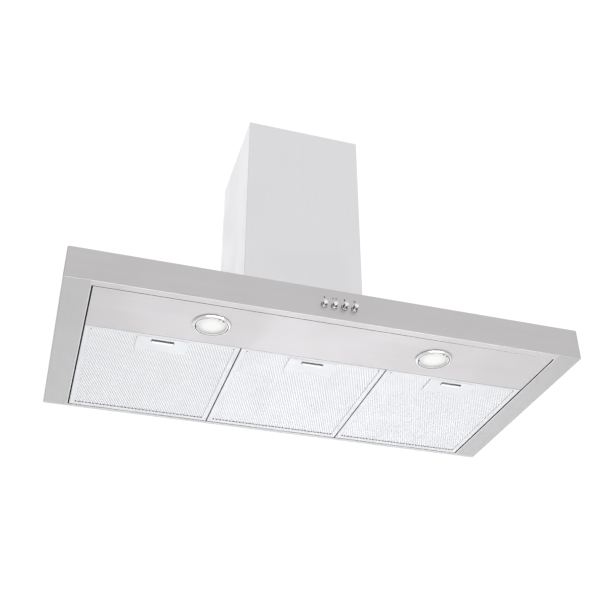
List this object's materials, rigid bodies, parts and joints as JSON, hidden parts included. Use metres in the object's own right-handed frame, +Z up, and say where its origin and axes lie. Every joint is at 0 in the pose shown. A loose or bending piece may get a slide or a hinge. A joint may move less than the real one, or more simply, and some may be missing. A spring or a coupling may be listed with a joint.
{
  "type": "range hood",
  "caption": "Wall-mounted chimney range hood: flat stainless canopy with hinged mesh filters, round lamps and push buttons below a telescopic chimney.",
  "frame": {"origin": "centre of the canopy's rear face, on the wall", "axes": "+X to the right along the canopy, +Y into the wall, +Z up; the front faces -Y"},
  "size_m": [0.914, 0.4615, 0.614],
  "materials": {
    "stainless": "brushed along the canopy's width",
    "chimney_steel": "fine satin, brushed up and down",
    "galvanised": "galvanised sheet with a faint spangle",
    "motor_steel": "dark enamel over the laminations",
    "filter_aluminium": "bright expanded mesh and rolled sheet",
    "latch_aluminium": "satin, bright at its folds",
    "spring_steel": "drawn steel wire and rod",
    "chrome": "polished chrome",
    "frosted_glass": "frosted glass, lit from behind, emissive",
    "bulb_glass": "clear capsule, emissive",
    "reflector": "bright spun aluminium",
    "ceramic": "unglazed ceramic",
    "fan_aluminium": "mill-finish sheet",
    "black_plastic": "fine moulded grain",
    "lead_rubber": "matt round flex"
  },
  "bodies": {
    "hood_body": {"back_plate": "galvanised", "blower_box": "galvanised", "blower_scroll_left": "galvanised", "blower_scroll_right": "galvanised", "cable_gland": "black_plastic", "canopy_shell": "stainless", "capacitor": "black_plastic", "control_box": "galvanised", "control_box_cover": "galvanised", "damper_pin": "spring_steel", "lamp_bezel_left": "chrome", "lamp_bezel_right": "chrome", "lamp_bulb_left": "bulb_glass", "lamp_bulb_right": "bulb_glass", "lamp_holder_left": "ceramic", "lamp_holder_right": "ceramic", "lamp_lead_left": "lead_rubber", "lamp_lead_right": "lead_rubber", "lamp_lens_left": "frosted_glass", "lamp_lens_right": "frosted_glass", "lamp_reflector_left": "reflector", "lamp_reflector_right": "reflector", "light_panel": "stainless", "lower_chimney_cover": "chimney_steel", "motor": "motor_steel", "motor_bracket": "galvanised", "motor_lead": "lead_rubber", "outlet_collar": "black_plastic", "panel_bracket_left": "galvanised", "panel_bracket_right": "galvanised", "switch_body": "black_plastic", "switch_plate": "chrome"},
    "filter_left": {"filter_frame_left": "filter_aluminium", "filter_mesh_left": "filter_aluminium", "latch_case_left": "filter_aluminium", "latch_spring_left": "spring_steel"},
    "latch_slider_left": {"latch_left": "latch_aluminium"},
    "filter_centre": {"filter_frame_centre": "filter_aluminium", "filter_mesh_centre": "filter_aluminium", "latch_case_centre": "filter_aluminium", "latch_spring_centre": "spring_steel"},
    "latch_slider_centre": {"latch_centre": "latch_aluminium"},
    "filter_right": {"filter_frame_right": "filter_aluminium", "filter_mesh_right": "filter_aluminium", "latch_case_right": "filter_aluminium", "latch_spring_right": "spring_steel"},
    "latch_slider_right": {"latch_right": "latch_aluminium"},
    "light_button": {"button_light": "chrome"},
    "low_button": {"button_low": "chrome"},
    "medium_button": {"button_medium": "chrome"},
    "high_button": {"button_high": "chrome"},
    "upper_chimney": {"upper_chimney_cover": "chimney_steel", "chimney_strap": "galvanised"},
    "fan": {"fan_wheel": "fan_aluminium", "motor_shaft": "spring_steel"},
    "damper_front": {"damper_flap_front": "fan_aluminium"},
    "damper_rear": {"damper_flap_rear": "fan_aluminium"}
  },
  "joints": [
    {"name": "filter_hinge_left", "type": "hinge", "parent": "hood_body", "child": "filter_left", "pos_m": [-0.27283, -0.008, -0.0286], "axis": [1, 0, 0], "range_deg": [0, 70]},
    {"name": "latch_slide_left", "type": "slide", "parent": "filter_left", "child": "latch_slider_left", "axis": [0, 1, 0], "range_m": [0, 0.0054], "stiffness_N_per_m": 150, "springref_m": -0.004, "deforming": ["latch_spring_left"]},
    {"name": "filter_hinge_centre", "type": "hinge", "parent": "hood_body", "child": "filter_centre", "pos_m": [0, -0.008, -0.0286], "axis": [1, 0, 0], "range_deg": [0, 70]},
    {"name": "latch_slide_centre", "type": "slide", "parent": "filter_centre", "child": "latch_slider_centre", "axis": [0, 1, 0], "range_m": [0, 0.0054], "stiffness_N_per_m": 150, "springref_m": -0.004, "deforming": ["latch_spring_centre"]},
    {"name": "filter_hinge_right", "type": "hinge", "parent": "hood_body", "child": "filter_right", "pos_m": [0.27283, -0.008, -0.0286], "axis": [1, 0, 0], "range_deg": [0, 70]},
    {"name": "latch_slide_right", "type": "slide", "parent": "filter_right", "child": "latch_slider_right", "axis": [0, 1, 0], "range_m": [0, 0.0054], "stiffness_N_per_m": 150, "springref_m": -0.004, "deforming": ["latch_spring_right"]},
    {"name": "light_button_press", "type": "slide", "parent": "hood_body", "child": "light_button", "axis": [0, 1, 0], "range_m": [-0.003, 0.0015]},
    {"name": "low_button_press", "type": "slide", "parent": "hood_body", "child": "low_button", "axis": [0, 1, 0], "range_m": [-0.003, 0.0015]},
    {"name": "medium_button_press", "type": "slide", "parent": "hood_body", "child": "medium_button", "axis": [0, 1, 0], "range_m": [0, 0.0045], "stiffness_N_per_m": 300, "springref_m": -0.002},
    {"name": "high_button_press", "type": "slide", "parent": "hood_body", "child": "high_button", "axis": [0, 1, 0], "range_m": [0, 0.0045], "stiffness_N_per_m": 300, "springref_m": -0.002},
    {"name": "chimney_extend", "type": "slide", "parent": "hood_body", "child": "upper_chimney", "axis": [0, 0, 1], "range_m": [0, 0.42]},
    {"name": "fan_spin", "type": "hinge", "parent": "hood_body", "child": "fan", "pos_m": [0, -0.1215, 0.1553], "axis": [1, 0, 0], "continuous": true},
    {"name": "damper_front_hinge", "type": "hinge", "parent": "hood_body", "child": "damper_front", "pos_m": [0, -0.088, 0.3003], "axis": [-1, 0, 0], "range_deg": [0, 75]},
    {"name": "damper_rear_hinge", "type": "hinge", "parent": "hood_body", "child": "damper_rear", "pos_m": [0, -0.088, 0.3003], "axis": [1, 0, 0], "range_deg": [0, 75]}
  ]
}
